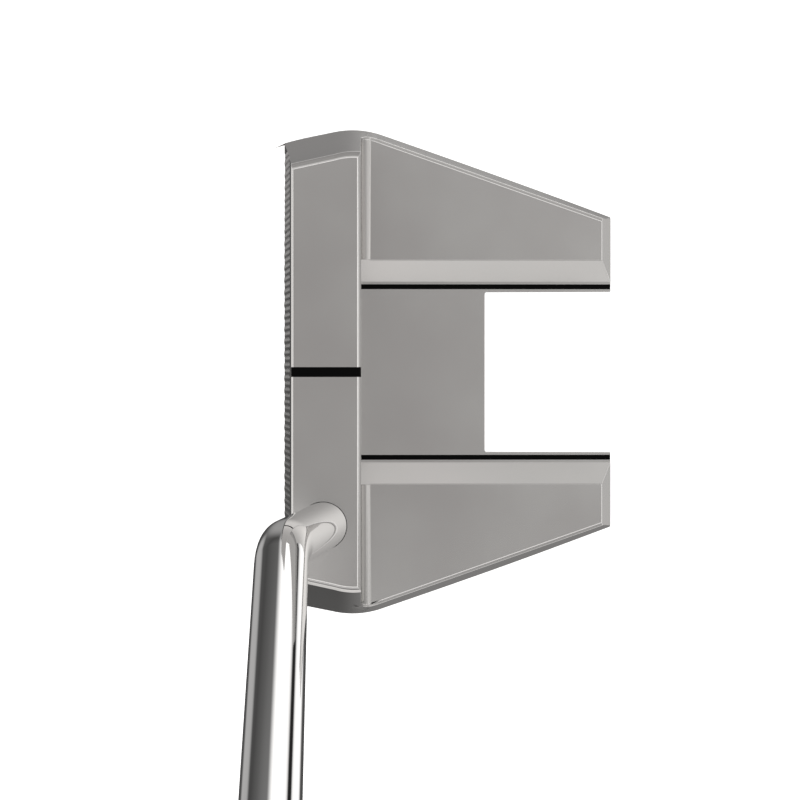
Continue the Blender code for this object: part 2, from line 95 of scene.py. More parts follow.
SIGHT_DEPTH = 0.8 * MM
FRONT_CHAMFER = 0.33 * MM
PAINT_GAP = 0.02 * MM         # between the paint and its groove
PAINT_COLUMNS = 8
SIGHT_DIP = 0.12 * MM         # how far the paint sinks in mid-groove
LINE_DIP = 0.1 * MM

# Small facets round the crown: (width, slope), from the plateau outwards.
HEEL_BANDS = ((0.28 * MM, radians(17)), (0.28 * MM, radians(33)), (0.40 * MM, radians(50)))
TOE_BANDS = ((0.22 * MM, radians(17)), (0.55 * MM, radians(30)), (0.30 * MM, radians(35)))
REAR_BANDS = ((0.28 * MM, radians(20)), (0.42 * MM, radians(47)))

SOLE_FLAT_X = 14.0 * MM
SOLE_FLAT_FRONT_Y = -14.0 * MM
SOLE_FLAT_BACK_Y = 8.0 * MM
SOLE_CAMBER_RADIUS = 265.0 * MM
SOLE_FRONT_RADIUS = 16.0 * MM
SOLE_REAR_RADIUS = 263.0 * MM

# ---- the head's edges ----
RIM_CHAMFER = 0.47 * MM       # on the wings' outer edges
RIM_COVE_SHARE = 0.35         # how much of it is left where the rim has climbed the cove
SOLE_CHAMFER = 0.5 * MM
RIM_ROUNDING = 0.14 * MM      # on both edges of the rim's chamfer
ROUNDING = 0.09 * MM          # on every other edge
CHAMFER_FROM = radians(14)    # flatter edges than this get no chamfer
ROUNDING_FROM = radians(9)    # and flatter ones than this no rounding
SAME_FACET = radians(32)      # roundings shade smoothly across smaller turns than this
FLAT_AREA = 1.5 * MM * MM     # facets above this size keep their own normal
WELD = 0.02 * MM
FLAT_JOIN = radians(0.3)

# ---- the milled diamonds on the face ----
MILL_HALF_SPAN = 44.6 * MM
MILL_TOP_Z = 20.2 * MM
MILL_PITCH = 2.5 * MM
MILL_RISE = 3.4 * MM
MILL_DEPTH = 0.2 * MM
MILL_CELL = 0.25 * MM
MILL_STEEPNESS = 1.25
MILL_START = 0.003 * MM       # the mill starts this far ahead of the face plane
MILL_OVERCUT = 1.000003       # the milled depth, over the drawn depth

# ---- shaft, as in the CAD ----
SHAFT_CROWN_X = 30.25 * MM
SHAFT_CROWN_Y = -12.0 * MM
LOWER_LEAN_X = 0.01
LOWER_LEAN_Y = -0.1105
BEND_Z = 87.0 * MM
BEND_RADIUS = 48.0 * MM
LIE = radians(70.0)
CLUB_LENGTH = 863.6 * MM
TIP_Z = 7.0 * MM
TIP_RADIUS = 4.7 * MM
BUTT_RADIUS = 7.35 * MM
SHAFT_WALL = 0.5 * MM
STEPS_BELOW_GRIP = 56.0 * MM
STEP_COUNT = 8
STEP_PITCH = 28.0 * MM
STEP_TAPER = 2.0 * MM
SHAFT_GAP = 0.07 * MM         # the dark ring between the shaft and its bore
BORE_PAST_CROWN = 1.02        # the leaning bore, over the height it has to clear

# ---- grip, as in the CAD ----
GRIP_LENGTH = 267.0 * MM
CAP_THICK = 4.0 * MM
CAP_DOME = 1.2 * MM
SKIN_THICK = 1.2 * MM
PIECE_GAP = 0.3 * MM
VENT_RADIUS = 1.8 * MM
GRIP_BUILD_UP = 0.7 * MM       # the tape and its clearances, between the shaft and the grip
GRIP_BORE_RADIUS = BUTT_RADIUS + GRIP_BUILD_UP
GRIP_STATIONS = (
    (0.0 * MM, 4.15 * MM, 4.55 * MM, 9.95 * MM),
    (22.0 * MM, 4.85 * MM, 4.85 * MM, 9.55 * MM),
    (75.0 * MM, 4.35 * MM, 4.15 * MM, 5.15 * MM),
    (140.0 * MM, 3.85 * MM, 3.35 * MM, 4.35 * MM),
    (210.0 * MM, 2.85 * MM, 2.55 * MM, 3.35 * MM),
    (267.0 * MM, 1.85 * MM, 1.85 * MM, 1.85 * MM),
)
FRONT_FLATNESS = 0.5
GRIP_SKIN_INSET = 0.09 * MM   # keeps the fine surface inside the CAD solid
GRIP_AROUND = 144
GRIP_ROWS = 620
GRIP_BORE_ROWS = 12
GRIP_END_ROUNDING = 0.6 * MM
GRIP_END_ROUNDING_LENGTH = 0.8 * MM
GROOVE_PITCH = 6.0 * MM
GROOVE_DEPTH = 0.35 * MM
CAP_BAND = 10.0 * MM          # plain bands at the grip's two ends
TIP_BAND = 6.0 * MM
BAND_LINE_PLACE = 2.0 * MM    # each set off by one round groove
BAND_LINE_DEPTH = 0.4 * MM
BAND_LINE_HALF_WIDTH = 0.6 * MM
PATTERN_FADE = 3.0 * MM
FRONT_EDGE = -0.12            # the flat front is where the sine of the angle is under this
CHEVRON_RISE = 5.0 * MM
CHEVRON_WIDTH = 0.22
DIMPLE_WIDTH = 0.3
DIMPLE_COLUMNS = 9
CAP_EDGE_STEPS = 8
CAP_RING = ((0.72, 0.0), (0.69, 0.25 * MM), (0.63, 0.25 * MM), (0.60, 0.0))     # (share out, depth)
VENT_COUNTERSINK = 0.5 * MM
ACROSS = Vector((0, 1, 0))

# ---- sole weights, as in the CAD ----
WEIGHT_Y = 10.0 * MM
WEIGHT_FROM_FLANK = 15.5 * MM
WEIGHT_X = HALF_SPAN - WEIGHT_FROM_FLANK
WEIGHT_RADIUS = 7.7 * MM
WEIGHT_RECESS = 0.3 * MM
FLANGE_THICK = 1.6 * MM
SHANK_RADIUS = 5.2 * MM
SHANK_END = 5.4 * MM
O_RING_SEAT = 3.0 * MM
SOCKET_RADIUS = 2.6 * MM
SOCKET_DEPTH = 2.2 * MM
SOCKET_TIP = 0.35 * MM
SOCKET_DISH = ((0.6 * MM, 0.5 * MM), (0.9 * MM, 0.3 * MM))      # (beyond the socket, depth)
WEIGHT_EDGE = 0.35 * MM
WEIGHT_RING_RADIUS = 4.3 * MM
WEIGHT_RING_SPACING = 0.9 * MM
WEIGHT_RING_COUNT = 3
WEIGHT_RING_DEPTH = 0.12 * MM
WEIGHT_RING_PROFILE = ((-0.16 * MM, 0.0), (-0.08 * MM, 1.0), (0.08 * MM, 1.0), (0.16 * MM, 0.0))
THREAD_PITCH = 0.6 * MM
THREAD_DEPTH = 0.25 * MM
POCKET_GAP = 0.12 * MM
POCKET_LIP = 0.25 * MM

# ---- how finely curves are stepped, and clearances ----
FLANK_STEPS = 28
ROUND_STEPS = 96
SOLE_SIDE_STEPS = 24
SOLE_FRONT_STEPS = 14
SOLE_REAR_STEPS = 20
COVE_STEPS = 16
NOTCH_STEPS = 8
BEND_STEPS = 40
EDGE_SEGMENTS = 3
PAST = 5.0 * MM               # how far cutters reach past what they cut
NEAR = 0.02 * MM              # how close a point has to be to count as on a surface


# ---- mesh tools ----

def link(made):
    bpy.context.scene.collection.objects.link(made)
    return made


def make_object(name, work, material=None, smooth=None, matrix=None):
    bmesh.ops.recalc_face_normals(work, faces=work.faces)
    mesh = bpy.data.meshes.new(name)
    work.to_mesh(mesh)
    work.free()
    if smooth is not None:
        mesh.shade_smooth()
        mesh.set_sharp_from_angle(angle=smooth)
    made = link(bpy.data.objects.new(name, mesh))
    if matrix is not None:
        made.matrix_world = matrix
    if material:
        mesh.materials.append(material)
    return made


def loft(rings, closed=False):
    """A skin through rings of points; ends are capped, unless the last ring joins the first."""
    work = bmesh.new()
    loops = [[work.verts.new(point) for point in ring] for ring in rings]
    count = len(loops[0])
    spans = list(zip(loops, loops[1:]))
    if closed:
        spans.append((loops[-1], loops[0]))
    for low, high in spans:
        for index in range(count):
            after = (index + 1) % count
            work.faces.new((low[index], low[after], high[after], high[index]))
    if not closed:
        work.faces.new(reversed(loops[0]))
        work.faces.new(loops[-1])
    return work


def prism(outline, depth):
    return loft([[Vector(point) for point in outline], [Vector(point) + depth for point in outline]])


def arc(centre, radius, start, end, steps):
    turn = end - start
    angles = [start + turn * step / steps for step in range(steps + 1)]
    return [(centre[0] + radius * cos(angle), centre[1] + radius * sin(angle)) for angle in angles]


def turned(profile, steps=ROUND_STEPS):
    """Rings of a (radius, height) profile turned about Z."""
    angles = [2 * pi * step / steps for step in range(steps)]
    return [[Vector((radius * cos(a), radius * sin(a), height)) for a in angles] for radius, height in profile]


def evaluated(made):
    """The object's mesh with its modifiers applied, and no modifiers left on it."""
    graph = bpy.context.evaluated_depsgraph_get()
    mesh = bpy.data.meshes.new_from_object(made.evaluated_get(graph))
    made.modifiers.clear()
    old = made.data
    made.data = mesh
    bpy.data.meshes.remove(old)
    return made


def cut(target, *cutters):
    """Cuts each shape out of the target and deletes it."""
    for cutter in cutters:
        change = target.modifiers.new("cut", "BOOLEAN")
        change.operation = "DIFFERENCE"
        change.solver = "EXACT"
        change.object = cutter
    bpy.context.view_layer.update()
    evaluated(target)
    for cutter in cutters:
        bpy.data.objects.remove(cutter, do_unlink=True)
    return target


def spread(start, end, count):
    return [start + (end - start) * step / count for step in range(count + 1)]


def block(name, low, high):
    corners = [(low[0], low[1]), (high[0], low[1]), (high[0], high[1]), (low[0], high[1])]
    return make_object(name, prism([(x, y, low[2]) for x, y in corners], Vector((0, 0, high[2] - low[2]))))


def smooth(piece, angle):
    piece.data.shade_smooth()
    piece.data.set_sharp_from_angle(angle=angle)


def hand_over(piece, slot, *nodes):
    """Rides the piece on the club and hides the frame's nodes that it stands for."""
    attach(piece, "root")
    if nodes:
        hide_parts(*nodes)
    return piece


# ---- materials ----

CLOUD_DETAIL = 4.0
CLOUD_LOW = 0.3               # the part of the clouds that the roughness follows
CLOUD_HIGH = 0.7
GRAIN_DETAIL = 3.0
GRAIN_STRENGTH = 0.5
BRUSH_STRETCH = (1.0, 30.0, 1.0)
BRUSH_SCALE = 220.0
BRUSH_DETAIL = 5.0
BRUSH_STRENGTH = 0.25
BRUSH_DEPTH = 0.002 * MM


def nodes_of(material):
    material.use_nodes = True
    tree = material.node_tree
    return tree, tree.nodes["Principled BSDF"]


def add_node(tree, kind, **settings):
    node = tree.nodes.new(kind)
    for name, value in settings.items():
        setattr(node, name, value)
    return node


def noise(tree, place, scale, detail):
    """How strong a noise is at a place."""
    node = add_node(tree, "ShaderNodeTexNoise")
    node.inputs["Scale"].default_value = scale
    node.inputs["Detail"].default_value = detail
    tree.links.new(place, node.inputs["Vector"])
    return node.outputs["Fac"]


def relief(tree, height, strength, distance):
    """A bump node, and the normal it gives."""
    node = add_node(tree, "ShaderNodeBump")
    node.inputs["Strength"].default_value = strength
    node.inputs["Distance"].default_value = distance
    tree.links.new(height, node.inputs["Height"])
    return node, node.outputs["Normal"]


def surface(name, dark, light, metallic, smooth_rough, worn_rough, grain, bump, blotch=40.0):
    """A finish whose colour and roughness wander a little, over a fine grain."""
    material = bpy.data.materials.new(name)
    tree, shader = nodes_of(material)
    place = add_node(tree, "ShaderNodeTexCoord").outputs["Object"]
    clouds = noise(tree, place, blotch, CLOUD_DETAIL)
    tint = add_node(tree, "ShaderNodeMix", data_type="RGBA")
    tint.inputs["A"].default_value = (*dark, 1.0)
    tint.inputs["B"].default_value = (*light, 1.0)
    tree.links.new(clouds, tint.inputs["Factor"])
    tree.links.new(tint.outputs["Result"], shader.inputs["Base Color"])
    rough = add_node(tree, "ShaderNodeMapRange")
    rough.inputs["From Min"].default_value = CLOUD_LOW
    rough.inputs["From Max"].default_value = CLOUD_HIGH
    rough.inputs["To Min"].default_value = smooth_rough
    rough.inputs["To Max"].default_value = worn_rough
    tree.links.new(clouds, rough.inputs["Value"])
    tree.links.new(rough.outputs["Result"], shader.inputs["Roughness"])
    fine = noise(tree, place, grain, GRAIN_DETAIL)
    tree.links.new(relief(tree, fine, GRAIN_STRENGTH, bump)[1], shader.inputs["Normal"])
    shader.inputs["Metallic"].default_value = metallic
    return material


def steel_finish():
    """Satin stainless: slow warm and cool clouds, a brushed grain and a wandering roughness."""
    material = surface("satin stainless", (0.585, 0.56, 0.55), (0.60, 0.605, 0.59), 1.0, 0.17, 0.23,
                       9000.0, 0.003 * MM, 28.0)
    tree, shader = nodes_of(material)
    place = add_node(tree, "ShaderNodeTexCoord").outputs["Object"]
    stretch = add_node(tree, "ShaderNodeMapping")
    stretch.inputs["Scale"].default_value = BRUSH_STRETCH
    tree.links.new(place, stretch.inputs["Vector"])
    brush = noise(tree, stretch.outputs["Vector"], BRUSH_SCALE, BRUSH_DETAIL)
    grain = shader.inputs["Normal"].links[0].from_socket
    bump, brushed = relief(tree, brush, BRUSH_STRENGTH, BRUSH_DEPTH)
    tree.links.new(grain, bump.inputs["Normal"])
    tree.links.new(brushed, shader.inputs["Normal"])
    return material


STEEL = steel_finish()
# Lighter than the satin steel: the base colour paints the bright highlights along the edge roundings, partly a
# real polish.
HIGHLIGHT_EDGE_STEEL = surface("polished edge with painted highlight", (0.72, 0.71, 0.70), (0.84, 0.83, 0.82), 1.0, 0.14, 0.24,
                     6000.0, 0.001 * MM)
CHROME = surface("polished chrome", (0.80, 0.80, 0.80), (0.86, 0.86, 0.855), 1.0, 0.02, 0.05,
                 900.0, 0.0004 * MM)
WEIGHT_STEEL = surface("turned steel", (0.42, 0.42, 0.42), (0.5, 0.5, 0.49), 1.0, 0.22, 0.34,
                       5000.0, 0.004 * MM)
PAINT = surface("line paint", (0.001, 0.001, 0.001), (0.003, 0.003, 0.003), 0.0, 0.45, 0.6,
                5000.0, 0.01 * MM)
nodes_of(PAINT)[1].inputs["Specular IOR Level"].default_value = 0.04
RUBBER = surface("cap rubber", (0.014, 0.014, 0.015), (0.024, 0.024, 0.025), 0.0, 0.55, 0.75,
                 4000.0, 0.02 * MM)
GRIP = surface("grip polyurethane", (0.017, 0.017, 0.018), (0.03, 0.03, 0.031), 0.0, 0.5, 0.72,
               3500.0, 0.03 * MM)
SEAL = surface("seal rubber", (0.01, 0.01, 0.01), (0.02, 0.02, 0.02), 0.0, 0.6, 0.8,
               6000.0, 0.01 * MM)
EPOXY = surface("epoxy", (0.04, 0.04, 0.035), (0.07, 0.068, 0.06), 0.0, 0.3, 0.5,
                3000.0, 0.01 * MM)
CORK = surface("cork", (0.33, 0.2, 0.11), (0.55, 0.38, 0.23), 0.0, 0.8, 0.95,
               1800.0, 0.08 * MM, 900.0)
PAPER = surface("tape", (0.62, 0.57, 0.44), (0.75, 0.71, 0.58), 0.0, 0.7, 0.9,
                2500.0, 0.02 * MM, 300.0)
FOAM = surface("foam rubber", (0.04, 0.04, 0.04), (0.08, 0.08, 0.08), 0.0, 0.85, 0.95,
               2200.0, 0.05 * MM, 700.0)


# ---- shaft and grip geometry ----

def lower_direction():
    return Vector((LOWER_LEAN_X, LOWER_LEAN_Y, 1.0)).normalized()


def upper_direction():
    return Vector((cos(LIE), 0.0, sin(LIE)))


def lower_point(z):
    above = z - CROWN_Z
    return Vector((SHAFT_CROWN_X + above * LOWER_LEAN_X, SHAFT_CROWN_Y + above * LOWER_LEAN_Y, z))


def upper_point(down):
    """The point on the upper axis at a distance down from the end of the grip."""
    above_bend = CLUB_LENGTH - BEND_Z / sin(LIE)
    return lower_point(BEND_Z) + upper_direction() * (above_bend - down)


def axis_frame(point, direction, side):
    other = direction.cross(side)
    columns = Matrix((side, other, direction)).transposed().to_4x4()
    columns.translation = point
    return columns


def bend_side():
    return lower_direction().cross(upper_direction()).normalized()


def bend_path(steps):
    """(point, direction) round the bend, from the lower run to the upper one."""
    low, high = lower_direction(), upper_direction()
    turn = low.angle(high)
    setback = BEND_RADIUS * tan(turn / 2)
    start = lower_point(BEND_Z) - low * setback
    inwards = bend_side().cross(low)
    path = []
    for step in range(steps + 1):
        angle = turn * step / steps
        point = start + low * (BEND_RADIUS * sin(angle)) + inwards * (BEND_RADIUS * (1 - cos(angle)))
        path.append((point, low * cos(angle) + inwards * sin(angle)))
    return path


def shaft_stations():
    """(point, direction, outer radius) along the shaft from tip to butt."""
    stations = [(lower_point(TIP_Z), lower_direction(), TIP_RADIUS)]
    stations += [(point, direction, TIP_RADIUS) for point, direction in bend_path(BEND_STEPS)]
    direction = upper_direction()
    grow = (BUTT_RADIUS - TIP_RADIUS) / STEP_COUNT
    steps_length = (STEP_COUNT - 1) * STEP_PITCH + STEP_TAPER
    first = upper_point(GRIP_LENGTH + STEPS_BELOW_GRIP + steps_length)
    for step in range(STEP_COUNT):
        place = first + direction * (step * STEP_PITCH)
        # Each step is a short cone with its edges eased.
        for share in (0.0, 0.15, 0.5, 0.85, 1.0):
            eased_share = share * share * (3 - 2 * share)
            radius = TIP_RADIUS + grow * (step + eased_share)
            stations.append((place + direction * (STEP_TAPER * share), direction, radius))
    stations.append((upper_point(CAP_THICK + PIECE_GAP), direction, BUTT_RADIUS))
    return stations


def ring_about(centre, direction, radius, steps=ROUND_STEPS):
    side = bend_side()
    other = direction.cross(side)
    angles = [2 * pi * step / steps for step in range(steps)]
    return [centre + side * (radius * cos(a)) + other * (radius * sin(a)) for a in angles]


def golferwards():
    return ACROSS.cross(upper_direction())


def eased(stations, place):
    """Smooth values between the stations of a table, by place."""
    for before, after in zip(stations, stations[1:]):
        if place <= after[0]:
            share = max(0.0, (place - before[0]) / (after[0] - before[0]))
            share = share * share * (3 - 2 * share)
            return [low + (high - low) * share for low, high in zip(before[1:], after[1:])]
    return list(stations[-1][1:])


def grip_point(down, angle, inset):
    """A point on the grip: 0 and pi are its sides, -pi/2 the flat front, pi/2 the back."""
    half, front, back = [GRIP_BORE_RADIUS + wall - GRIP_SKIN_INSET for wall in eased(GRIP_STATIONS, down)]
    wide, deep = cos(angle), sin(angle)
    if deep < 0:
        wide = copysign(abs(wide) ** FRONT_FLATNESS, wide)
        deep = -abs(deep) ** FRONT_FLATNESS
        depth = front
    else:
        depth = back
    place = ACROSS * ((half - inset) * wide) + golferwards() * ((depth - inset) * deep)
    return upper_point(down) + place


# ---- head shape ----

def flank_curve():
    centre = (HALF_SPAN - FLANK_RADIUS, APEX_Y)
    return arc(centre, FLANK_RADIUS, -FRONT_ANGLE, REAR_ANGLE, FLANK_STEPS)


FLANK_CURVE = [(y, x) for x, y in flank_curve()]


def flank_x(y, z):
    """The flank's distance from the sight line at a place and height."""
    first, last = FLANK_CURVE[0], FLANK_CURVE[-1]
    if y <= first[0]:
        slant = FRONT_ANGLE
        x = first[1] - (first[0] - y) * tan(slant)
    elif y >= last[0]:
        slant = REAR_ANGLE
        x = last[1] - (y - last[0]) * tan(slant)
    else:
        slant = asin((y - APEX_Y) / FLANK_RADIUS)
        x = HALF_SPAN - FLANK_RADIUS * (1 - cos(slant))
    share = (y - FACE_Y) / (BACK_Y - FACE_Y)
    draft = DRAFT_FRONT + (DRAFT_BACK - DRAFT_FRONT) * share
    return x - draft * (z - OUTLINE_Z) / cos(slant)


def face_y(z):
    return FACE_Y + z * tan(FACE_LOFT)


def back_y(z):
    return BACK_Y - max(0.0, z - FLOOR_Z) * BACK_SLOPE


def rear_wall_y(z):
    return REAR_WALL_TOP_Y + (CROWN_Z - z) * REAR_WALL_LEAN


def channel_x(z):
    return STRIP_FOOT_X + (z - FLOOR_Z) * STRIP_SLOPE


def band_steps(bands):
    """(inset still to come, drop below the crown) at each edge of the bands, from the outside in."""
    total = sum(width for width, _ in bands)
    reached, drop = 0.0, 0.0
    steps = [(total, 0.0)]
    for width, slope in bands:
        reached += width
        drop += width * tan(slope)
        steps.append((total - reached, drop))
    return steps


def band_inset(bands, drop):
    """How far in from its flank an end of the crown is, at a drop below the top."""
    steps = band_steps(bands)
    if drop >= steps[-1][1]:
        return 0.0
    for (inset, high), (after, low) in zip(steps, steps[1:]):
        if drop <= low:
            return inset + (after - inset) * (drop - high) / (low - high)
    return 0.0


def sole_z(x, y):
    side = max(0.0, abs(x) - SOLE_FLAT_X)
    front = max(0.0, SOLE_FLAT_FRONT_Y - y)
    rear = max(0.0, y - SOLE_FLAT_BACK_Y)
    rise = side ** 2 / SOLE_CAMBER_RADIUS + front ** 2 / SOLE_FRONT_RADIUS + rear ** 2 / SOLE_REAR_RADIUS
    return rise / 2


def side_ring(z, inset):
    """One side of the head's outline at a height, from the face to the back."""
    front = face_y(z) + max(0.0, FRONT_CHAMFER - (CROWN_Z - z))
    side = [(flank_x(front, z) - inset, front)]
    side += [(flank_x(y, z) - inset, y) for y, _ in FLANK_CURVE]
    side.append((flank_x(back_y(z), z) - inset, back_y(z)))
    return side


def head_ring(z):
    drop = CROWN_Z - z
    heel = side_ring(z, band_inset(HEEL_BANDS, drop))
    toe = [(-x, y) for x, y in reversed(side_ring(z, band_inset(TOE_BANDS, drop)))]
    return [Vector((x, y, z)) for x, y in heel + toe]


def head_blank():
    """The drafted block the head is milled from, with its crown's ends and front edge faceted."""
    drops = {FRONT_CHAMFER, 0.0}
    for bands in (HEEL_BANDS, TOE_BANDS):
        drops.update(drop for _, drop in band_steps(bands))
    levels = [-PAST / 2, FLOOR_Z] + [CROWN_Z - drop for drop in sorted(drops, reverse=True)]
    return make_object("head", loft([head_ring(z) for z in levels]))


def sole_cutter():
    side = spread(SOLE_FLAT_X, HALF_SPAN + PAST, SOLE_SIDE_STEPS)
    xs = [-x for x in reversed(side)] + side
    ys = spread(FACE_Y - PAST, SOLE_FLAT_FRONT_Y, SOLE_FRONT_STEPS)
    ys += spread(SOLE_FLAT_BACK_Y, BACK_Y + PAST, SOLE_REAR_STEPS)
    work = bmesh.new()
    top = [[work.verts.new((x, y, sole_z(x, y))) for x in xs] for y in ys]
    for row, after in zip(top, top[1:]):
        for index in range(len(xs) - 1):
            work.faces.new((row[index], row[index + 1], after[index + 1], after[index]))
    drop = bmesh.ops.extrude_face_region(work, geom=work.faces[:])
    for vert in drop["geom"]:
        if isinstance(vert, bmesh.types.BMVert):
            vert.co.z = -2 * PAST
    return make_object("sole form", work)


def panel_cutter():
    """The facets behind the crown, the rear wall, the cove and the panels."""
    cove_z = PANEL_Z + COVE_RADIUS * cos(COVE_END)
    cove_y = rear_wall_y(cove_z) + COVE_RADIUS
    steps = band_steps(REAR_BANDS)
    outline = [(rear_wall_y(CROWN_Z) - steps[0][0] - PAST, CROWN_Z + PAST * tan(REAR_BANDS[0][1]))]
    outline += [(rear_wall_y(CROWN_Z - drop) - inset, CROWN_Z - drop) for inset, drop in steps]
    outline += arc((cove_y, cove_z), COVE_RADIUS, pi, 1.5 * pi - COVE_END, COVE_STEPS)
    outline += [(BACK_Y + PAST, PANEL_Z), (BACK_Y + PAST, CROWN_Z + PAST), (outline[0][0], CROWN_Z + PAST)]
    reach = HALF_SPAN + PAST
    return make_object("panel mill", prism([(-reach, y, z) for y, z in outline], Vector((2 * reach, 0, 0))))


def channel_cutter():
    step_z = PANEL_Z + STRIP_STEP
    rings = []
    for z in (FLOOR_Z, step_z, PANEL_Z + COVE_RADIUS + PAST):
        x = channel_x(min(z, step_z))
        front = rear_wall_y(z)
        back = BACK_Y + PAST
        corners = ((-x, front), (x, front), (x, back), (-x, back))
        rings.append([Vector((across, y, z)) for across, y in corners])
    return make_object("channel mill", loft(rings))


def notch_cutter():
    inner = NOTCH_HALF_WIDTH - NOTCH_CORNER
    corner_y = NOTCH_FRONT_Y + NOTCH_CORNER
    outline = arc((-inner, corner_y), NOTCH_CORNER, pi, 1.5 * pi, NOTCH_STEPS)
    outline += arc((inner, corner_y), NOTCH_CORNER, 1.5 * pi, 2 * pi, NOTCH_STEPS)
    outline += [(NOTCH_HALF_WIDTH, BACK_Y + PAST), (-NOTCH_HALF_WIDTH, BACK_Y + PAST)]
    base = [(x, y, -PAST) for x, y in outline]
    return make_object("notch mill", prism(base, Vector((0, 0, CROWN_Z + PAST))))


def mill_depth(x, z):
    """Depth of the milling under the face plane: rows of shallow diamonds, fading out at the borders."""
    grooves = []
    for sign in (-1, 1):
        turn = x / MILL_PITCH + sign * z / MILL_RISE
        grooves.append(abs(2 * (turn - floor(turn)) - 1))
    deep = MILL_DEPTH * (1 - min(1.0, MILL_STEEPNESS * min(grooves)))
    border = min(MILL_HALF_SPAN - abs(x), MILL_TOP_Z - z)
    return deep * min(1.0, max(0.0, border / MILL_CELL))


def face_cutter():
    """What the diamond mill takes off the face."""
    xs = spread(-MILL_HALF_SPAN, MILL_HALF_SPAN, round(2 * MILL_HALF_SPAN / MILL_CELL))
    zs = spread(-PAST / 2, MILL_TOP_Z, round((MILL_TOP_Z + PAST / 2) / MILL_CELL))
    work = bmesh.new()
    skin = []
    for z in zs:
        row = [(x, face_y(z) - MILL_START + mill_depth(x, z) * MILL_OVERCUT, z) for x in xs]
        skin.append([work.verts.new(point) for point in row])
    for row, after in zip(skin, skin[1:]):
        for index in range(len(xs) - 1):
            work.faces.new((row[index], row[index + 1], after[index + 1], after[index]))
    front = bmesh.ops.extrude_face_region(work, geom=work.faces[:])
    for vert in front["geom"]:
        if isinstance(vert, bmesh.types.BMVert):
            vert.co.y = FACE_Y - PAST
    return make_object("face mill", work)


# ---- head edges ----

def on_rim(edge):
    """Whether an edge lies round the top of a wing, outside the channel."""
    middle = (edge.verts[0].co + edge.verts[1].co) / 2
    high = PANEL_Z - MM < middle.z < PANEL_Z + COVE_RADIUS
    return high and abs(middle.x) > channel_x(PANEL_Z) + MM and middle.y > rear_wall_y(PANEL_Z) + 0.1 * MM


def on_cut(point):
    """Whether a point is on a paint groove, the bore or a weight's pocket, whose edges stay crisp."""
    across = abs(point.x)
    on_sight = across < SIGHT_WIDTH / 2 + NEAR and point.z > CROWN_Z - SIGHT_DEPTH - NEAR
    on_line = abs(across - LINE_X) < LINE_WIDTH / 2 + NEAR and point.z > FLOOR_Z - LINE_DEPTH - NEAR
    along = lower_direction()
    offset = point - lower_point(TIP_Z)
    from_axis = (offset - along * offset.dot(along)).length
    on_bore = from_axis < TIP_RADIUS + SHAFT_GAP + NEAR
    from_weight = ((across - WEIGHT_X) ** 2 + (point.y - WEIGHT_Y) ** 2) ** 0.5
    on_pocket = from_weight < WEIGHT_RADIUS + 2 * POCKET_LIP and point.z < PANEL_Z - MM
    return on_sight or on_line or on_bore or on_pocket


def crisp(edge):
    return all(on_cut(vert.co) for vert in edge.verts)


def rim_width(edge):
    """The width of the chamfer on an outer edge of a wing or of the sole, or nothing."""
    if edge.calc_face_angle_signed(0.0) < CHAMFER_FROM or crisp(edge):
        return 0.0
    middle = (edge.verts[0].co + edge.verts[1].co) / 2
    normals = [face.normal for face in edge.link_faces]
    if min(normal.z for normal in normals) < -0.9:
        return SOLE_CHAMFER
    outwards = max(abs(normal.x) for normal in normals)
    if on_rim(edge) and outwards > 0.8 and max(normal.z for normal in normals) > 0.3:
        share = (PANEL_Z + COVE_RADIUS - middle.z) / COVE_RADIUS
        return RIM_CHAMFER * (RIM_COVE_SHARE + (1 - RIM_COVE_SHARE) * min(1.0, share))
    return 0.0


def on_face_corner(edge):
    """Whether an edge is the sharp corner between the milled face and a flank."""
    normals = [face.normal for face in edge.link_faces]
    return min(normal.y for normal in normals) < -0.9 and max(abs(normal.x) for normal in normals) > 0.8


def rounding_width(edge):
    if edge.calc_face_angle_signed(0.0) < ROUNDING_FROM or crisp(edge) or on_face_corner(edge):
        return 0.0
    return RIM_ROUNDING if on_rim(edge) else ROUNDING


def bevel(made, name, width_of, widest, segments, slot=-1):
    """Bevels each edge by its own width; the new faces may take a material slot of their own."""
    work = bmesh.new()
    work.from_mesh(made.data)
    bmesh.ops.remove_doubles(work, verts=work.verts, dist=WELD)
    bmesh.ops.dissolve_limit(work, angle_limit=FLAT_JOIN, verts=work.verts, edges=work.edges)
    work.normal_update()
    layer = work.edges.layers.float.get("bevel_weight_edge")
    if layer is None:
        layer = work.edges.layers.float.new("bevel_weight_edge")
    for edge in work.edges:
        edge[layer] = width_of(edge) / widest if len(edge.link_faces) == 2 else 0.0
    work.to_mesh(made.data)
    work.free()
    change = made.modifiers.new(name, "BEVEL")
    change.limit_method = "WEIGHT"
    change.width = widest
    change.segments = segments
    change.material = slot
    change.use_clamp_overlap = False
    bpy.context.view_layer.update()
    return evaluated(made)


def level_normals(made, limit):
    """Flat facets keep their own normal, and the roundings turn smoothly from one facet to the next."""
    mesh = made.data
    mesh.shade_smooth()
    near = [[] for _ in mesh.vertices]
    for face in mesh.polygons:
        for vertex in face.vertices:
            near[vertex].append(face.index)
    normals = [face.normal.copy() for face in mesh.polygons]
    areas = [face.area for face in mesh.polygons]
    flat = cos(limit)
    corners = [None] * len(mesh.loops)
    for face in mesh.polygons:
        own = normals[face.index]
        for loop, vertex in zip(face.loop_indices, face.vertices):
            if areas[face.index] > FLAT_AREA:
                corners[loop] = own
                continue
            total = Vector()
            for other in near[vertex]:
                if normals[other].dot(own) > flat:
                    total += normals[other] * areas[other]
            corners[loop] = total.normalized() if total.length > 0 else own
    mesh.normals_split_custom_set(corners)


# ---- pieces ----

def shaft_bore():
    length = CROWN_Z + PAST - TIP_Z
    frame_at = axis_frame(lower_point(TIP_Z), lower_direction(), bend_side())
    rings = turned([(TIP_RADIUS + SHAFT_GAP, 0.0), (TIP_RADIUS + SHAFT_GAP, length * BORE_PAST_CROWN)])
    return make_object("bore", loft(rings), matrix=frame_at)


